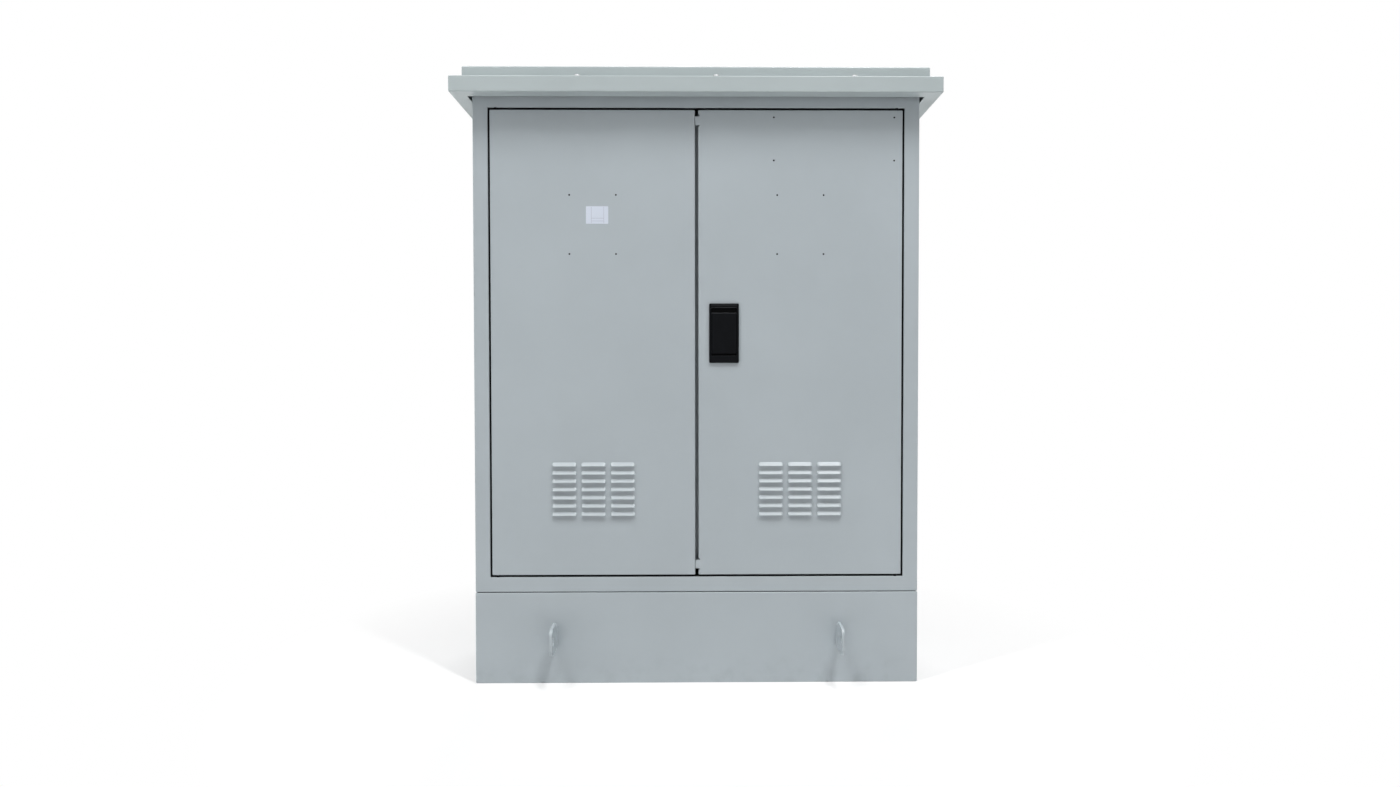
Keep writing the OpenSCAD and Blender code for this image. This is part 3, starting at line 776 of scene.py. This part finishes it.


# black rubber plugs that close the unused sign holes; their black also paints the shade inside the holes
def addHoleShadePlugs(name, places, body):
    radius, depth = leafValues["signHole"], leafValues["plugDepth"]
    first = addRod("plug", places[0] + Vector((0, 0.3 * mm + depth / 2, 0)), radius, depth, "Y", 24)
    pickCreases(first, 60, lambda a, b: near(a.y, b.y) and a.y < frontY + mm)
    bevelPicked(0.8 * mm, 3)
    pickCreases(first, 60, lambda a, b: near(a.y, b.y) and a.y > frontY + mm)
    bevelPicked(0.3 * mm, 2)
    bpy.ops.object.mode_set(mode="OBJECT")
    plugs = [first] + [copyPiece(first, "plug", place - places[0]) for place in places[1:]]
    return finishPiece(joinPieces(name, plugs), rubber, body)


def makeLeaves():
    v = leafValues
    left = makeLeafPan("leftDoor")
    signPlaces = holePlaces((leafLow.x + leafHigh.x) / 2, leafHigh.z - v["signTop"], v["signPattern"])
    cutters = [addRod("hole", place, v["signHole"], 12 * mm, "Y") for place in signPlaces]
    for z in (leafLow.z, leafHigh.z):
        cutters.append(addRod("bore", (leafLow.x + v["pinPlace"][0], frontY + v["pinPlace"][1], z), v["pinBore"],
                              12 * mm, "Z"))
    cutAway(left, cutters)
    right = mirrorPiece(left, "rightDoor", (-1, 1, 1))
    edgeX = -leafHigh.x
    relief, (reach, tabHeight) = v["tabRelief"], v["tab"]
    dishLow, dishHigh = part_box("latch_escutcheon")
    platePlaces = holePlaces(-leafLow.x - v["platePlace"][0], leafHigh.z - v["platePlace"][1], v["platePattern"])
    cutters = [addRod("hole", place, v["signHole"], 12 * mm, "Y") for place in platePlaces]
    cutters.append(addBox("latchHole", (dishLow.x + 3 * mm, frontY - 5 * mm, dishLow.z + 17 * mm),
                          (dishHigh.x - 3 * mm, frontY + 5 * mm, dishHigh.z - 9 * mm)))
    tabs = []
    for z in (leafLow.z + v["tabInset"], leafHigh.z - v["tabInset"]):
        half = tabHeight / 2
        cutters.append(addBox("relief", (edgeX - mm, frontY - mm, z - half - relief),
                              (edgeX + relief, frontY + v["edge"] - 3 * mm, z + half + relief)))
        tab = addBox("tab", (edgeX - reach, frontY, z - half), (edgeX + relief, frontY + sheet, z + half))
        pickCreases(tab, 60, lambda a, b: a.x < edgeX and b.x < edgeX)
        bevelPicked(0.5 * mm, 2)
        bpy.ops.object.mode_set(mode="OBJECT")
        tabs.append(tab)
    cutAway(right, cutters)
    right = joinPieces("rightDoor", [right] + tabs)
    addHoleShadePlugs("leftHoleShadePlugs", signPlaces, "left_leaf")
    addHoleShadePlugs("rightHoleShadePlugs", platePlaces + [Vector((-place.x, place.y, place.z)) for place in signPlaces], "right_leaf")
    finishPiece(left, doorPaint, "left_leaf", ("left_door",), 30)
    finishPiece(right, doorPaint, "right_leaf", ("right_door",), 30)


makeLeaves()
print("doors ready")

# flush latch on the right leaf
latchValues = {
    "corner": 3 * mm,
    "edge": 1.2 * mm,
    "dish": (35 * mm, -61 * mm, 69 * mm),  # half width, lower and upper end from the plate's middle
    "wall": 2 * mm,
    "dishCorner": 3 * mm,
    "ridges": ((73.6 * mm, 2.6 * mm, 1.6 * mm), (67.6 * mm, 2.4 * mm, 1.4 * mm)),  # level, height, out
    "rivets": (22 * mm, 6 * mm),
    "rib": (11.5 * mm, -76 * mm, -64 * mm),
    "paddleWidth": 67 * mm,
    "paddleRound": 3.9 * mm,
    "paddleChamfer": 3.4 * mm,
    "pinBore": 2.05 * mm,
}


def makeEscutcheon():
    v = latchValues
    low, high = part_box("latch_escutcheon")
    middle = (low + high) / 2
    half, dishLow, dishHigh = v["dish"]
    plate = addBox("escutcheon", low, (high.x, frontY, high.z))
    pickEdges(plate, lambda a, b: near(a.x, b.x) and near(a.z, b.z))
    bevelPicked(v["corner"], 4)
    pickCreases(plate, 60, lambda a, b: near(a.y, low.y) and near(b.y, low.y))
    bevelPicked(v["edge"], 3)
    bpy.ops.object.mode_set(mode="OBJECT")
    wall = v["wall"]
    shell = addBox("shell", (middle.x - half - wall, frontY - wall, middle.z + dishLow - wall),
                   (middle.x + half + wall, high.y, middle.z + dishHigh + wall))
    applyModifier(plate, "BOOLEAN", operation="UNION", solver="EXACT", object=shell)
    bpy.data.objects.remove(shell)
    dish = addBox("dish", (middle.x - half, low.y - mm, middle.z + dishLow),
                  (middle.x + half, high.y - wall, middle.z + dishHigh))
    pickEdges(dish, lambda a, b: near(a.x, b.x) and near(a.z, b.z))
    bevelPicked(v["dishCorner"], 4)
    bpy.ops.object.mode_set(mode="OBJECT")
    pinLow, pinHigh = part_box("latch_pin")
    cutAway(plate, [dish])
    cutAway(plate, [addRod("bore", (pinLow + pinHigh) / 2, v["pinBore"], 100 * mm, "X")])

    def onRim(a, b):
        return all(near(p.y, low.y) and abs(p.x - middle.x) < half + mm / 2 for p in (a, b))

    pickCreases(plate, 60, onRim)
    bevelPicked(0.8 * mm, 2)
    bpy.ops.object.mode_set(mode="OBJECT")
    trims = []
    for level, height, out in v["ridges"]:
        trims.append(addBox("ridge", (middle.x - half + mm, low.y - out, middle.z + level),
                            (middle.x + half - mm, low.y + mm, middle.z + level + height)))
    ribX, ribLow, ribHigh = v["rib"]
    trims.append(addBox("rib", (middle.x + ribX, low.y - 0.6 * mm, middle.z + ribLow),
                        (middle.x + ribX + 2.2 * mm, low.y + mm, middle.z + ribHigh)))
    for trim in trims:
        front = min(corner[1] for corner in trim.bound_box)
        top = max(corner[2] for corner in trim.bound_box)
        pickCreases(trim, 60, lambda a, b: all(near(p.y, front) and near(p.z, top) for p in (a, b)))
        bevelPicked(0.5 * mm if trim.name.startswith("rib") else 1.3 * mm, 3)
        bpy.ops.object.mode_set(mode="OBJECT")
    for level in v["rivets"]:
        rivet = addRod("rivet", (low.x + 2.8 * mm, low.y, middle.z + level), 1.4 * mm, 1.4 * mm, "Y", 20)
        pickCreases(rivet, 60)
        bevelPicked(0.5 * mm, 3)
        bpy.ops.object.mode_set(mode="OBJECT")
        trims.append(rivet)
    piece = joinPieces("escutcheon", [plate] + trims)
    return finishPiece(piece, black, "right_leaf", ("latch_escutcheon",))


def makePaddle():
    v = latchValues
    low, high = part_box("latch_paddle")
    middleX = (low.x + high.x) / 2
    half = v["paddleWidth"] / 2
    piece = addBox("paddle", (middleX - half, low.y, low.z), (middleX + half, high.y, high.z))
    pickEdges(piece, lambda a, b: near(a.z, low.z) and near(b.z, low.z) and near(a.y, b.y))
    bevelPicked(v["paddleRound"], 6)
    pickEdges(piece, lambda a, b: near(a.z, high.z) and near(b.z, high.z) and near(a.y, low.y) and near(b.y, low.y))
    bevelPicked(v["paddleChamfer"], 2)
    pickCreases(piece, 60)
    bevelPicked(0.6 * mm, 2)
    bpy.ops.object.mode_set(mode="OBJECT")
    pinLow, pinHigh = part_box("latch_pin")
    cutAway(piece, [addRod("bore", (pinLow + pinHigh) / 2, v["pinBore"], 100 * mm, "X")])
    return finishPiece(piece, black, "paddle", ("latch_paddle",))


makeEscutcheon()
makePaddle()
print("latch ready")

# bare ruled label on the left leaf
labelValues = {
    "low": (-297 * mm, 1242.5 * mm),
    "size": (60 * mm, 47 * mm),
    "out": 0.4 * mm,
    "line": 0.8 * mm,
    "columns": (14 * mm, 47.5 * mm),
    "rows": (31.5 * mm, 39 * mm),  # below the label's upper edge
}


def makeLabel():
    v = labelValues
    (x, z), (width, height) = v["low"], v["size"]
    film = addBox("label", (x, frontY - v["out"], z), (x + width, frontY + 0.1 * mm, z + height))
    pickEdges(film, lambda a, b: near(a.x, b.x) and near(a.z, b.z))
    bevelPicked(1.5 * mm, 3)
    bpy.ops.object.mode_set(mode="OBJECT")
    finishPiece(film, labelFilm, "left_leaf")
    front, back = frontY - v["out"] - 0.06 * mm, frontY - v["out"] + 0.1 * mm
    left, right = v["columns"]
    lines = [addBox("line", (x + at, front, z + 2 * mm), (x + at + v["line"], back, z + height - 2 * mm))
             for at in v["columns"]]
    for at in v["rows"]:
        top = z + height - at
        lines.append(addBox("line", (x + left, front, top - v["line"]), (x + right, back, top)))
    finishPiece(joinPieces("labelLines", lines), labelInk, "left_leaf")


makeLabel()
print("label ready")

# floor, world and lamps
cameraValues = {
    "lens": 36.0 * 870.9 / 1400,
    "place": (-0.0148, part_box("left_stile")[0].y - 2.3506, 0.8421),
    "tiltDown": 0.0236,
    "yaw": -0.010,
    "roll": 0.001,
}
lampValues = {
    "back": {"place": (0.6, 5.2, 4.8), "size": (3.0, 2.0), "power": 240.0},
    "sideLeft": {"place": (-4.6, -2.3, 3.4), "size": (0.6, 1.6), "power": 40.0},
    "sideRight": {"place": (4.6, -2.3, 3.4), "size": (0.6, 1.6), "power": 26.0},
    "topMiddle": {"place": (0.0, -2.9, 8.2), "size": (5.0, 1.2), "power": 30.0},
    "topFar": {"place": (0.0, -4.4, 7.4), "size": (5.0, 1.4), "power": 62.0},
    "keyLeft": {"place": (-3.0, -2.6, 7.4), "size": (0.2, 2.6), "power": 220.0},
    "keyRight": {"place": (1.7, -2.5, 7.2), "size": (0.2, 2.6), "power": 288.0},
}
worldLight = 0.1
floorValues = {
    "colour": (0.88, 0.88, 0.88),
    "white": 0.5,  # share of plain white that the camera sees near the cabinet
    "shaded": (0.72, 1.3),  # distances from the middle between which the floor fades to plain white
}


def addCamera():
    v = cameraValues
    camera = bpy.data.objects.new("camera", bpy.data.cameras.new("camera"))
    bpy.context.scene.collection.objects.link(camera)
    camera.data.sensor_width = 36.0
    camera.data.lens = v["lens"]
    camera.data.clip_end = 100.0
    camera.location = v["place"]
    camera.rotation_euler = (math.pi / 2 - v["tiltDown"], v["roll"], v["yaw"])
    bpy.context.scene.camera = camera


def addLamp(name, values):
    lamp = bpy.data.objects.new(name, bpy.data.lights.new(name, "AREA"))
    bpy.context.scene.collection.objects.link(lamp)
    lamp.data.shape = "RECTANGLE"
    lamp.data.size, lamp.data.size_y = values["size"]
    lamp.data.energy = values["power"]
    lamp.location = values["place"]
    aim = Vector((0, -0.1, 0.8)) - lamp.location
    lamp.rotation_euler = aim.to_track_quat("-Z", "Y").to_euler()


# the rays that see the plain white background: camera, glossy and transmission
def addWhiteRays(tree):
    path = tree.nodes.new("ShaderNodeLightPath")
    seen = path.outputs["Is Camera Ray"]
    for kind in ("Is Glossy Ray", "Is Transmission Ray"):
        either = tree.nodes.new("ShaderNodeMath")
        either.operation = "MAXIMUM"
        tree.links.new(seen, either.inputs[0])
        tree.links.new(path.outputs[kind], either.inputs[1])
        seen = either.outputs["Value"]
    return seen


def addWorld():
    world = bpy.data.worlds.new("studio")
    bpy.context.scene.world = world
    world.use_nodes = True
    tree = world.node_tree
    light = tree.nodes["Background"]
    light.inputs["Color"].default_value = (1, 1, 1, 1)
    light.inputs["Strength"].default_value = worldLight
    backdrop = tree.nodes.new("ShaderNodeBackground")
    backdrop.inputs["Color"].default_value = (1, 1, 1, 1)
    backdrop.inputs["Strength"].default_value = 1.0
    mix = tree.nodes.new("ShaderNodeMixShader")
    tree.links.new(addWhiteRays(tree), mix.inputs["Fac"])
    tree.links.new(light.outputs["Background"], mix.inputs[1])
    tree.links.new(backdrop.outputs["Background"], mix.inputs[2])
    tree.links.new(mix.outputs["Shader"], tree.nodes["World Output"].inputs["Surface"])


# the floor keeps the cabinet's shadow and fades to plain white for the camera
def addFloor():
    deselectAll()
    bpy.ops.mesh.primitive_circle_add(vertices=96, radius=30.0, fill_type="NGON")
    floor = bpy.context.object
    floor.name = "floor"
    material, tree, shader, place = newMaterial("floorWhite")
    colour = floorValues["colour"]
    tint = addRamp(tree, addNoise(tree, place, 3.0), [(0.3, scaled(colour, 0.99)), (0.7, colour)])
    tree.links.new(tint, shader.inputs["Base Color"])
    shader.inputs["Roughness"].default_value = 0.9
    shader.inputs["Specular IOR Level"].default_value = 0.1
    length = tree.nodes.new("ShaderNodeVectorMath")
    length.operation = "LENGTH"
    tree.links.new(place, length.inputs[0])
    start, end = floorValues["shaded"]
    far = addMap(tree, length.outputs["Value"], floorValues["white"], 1.0, start, end)
    share = tree.nodes.new("ShaderNodeMath")
    share.operation = "MULTIPLY"
    tree.links.new(far, share.inputs[0])
    tree.links.new(addWhiteRays(tree), share.inputs[1])
    white = tree.nodes.new("ShaderNodeEmission")
    mix = tree.nodes.new("ShaderNodeMixShader")
    tree.links.new(share.outputs["Value"], mix.inputs["Fac"])
    tree.links.new(shader.outputs["BSDF"], mix.inputs[1])
    tree.links.new(white.outputs["Emission"], mix.inputs[2])
    tree.links.new(mix.outputs["Shader"], tree.nodes["Material Output"].inputs["Surface"])
    floor.data.materials.append(material)


addCamera()
for lampName, lampRow in lampValues.items():
    addLamp(lampName, lampRow)
addWorld()
addFloor()
bpy.context.scene.view_settings.view_transform = "Standard"
print("camera, lamps and floor ready")
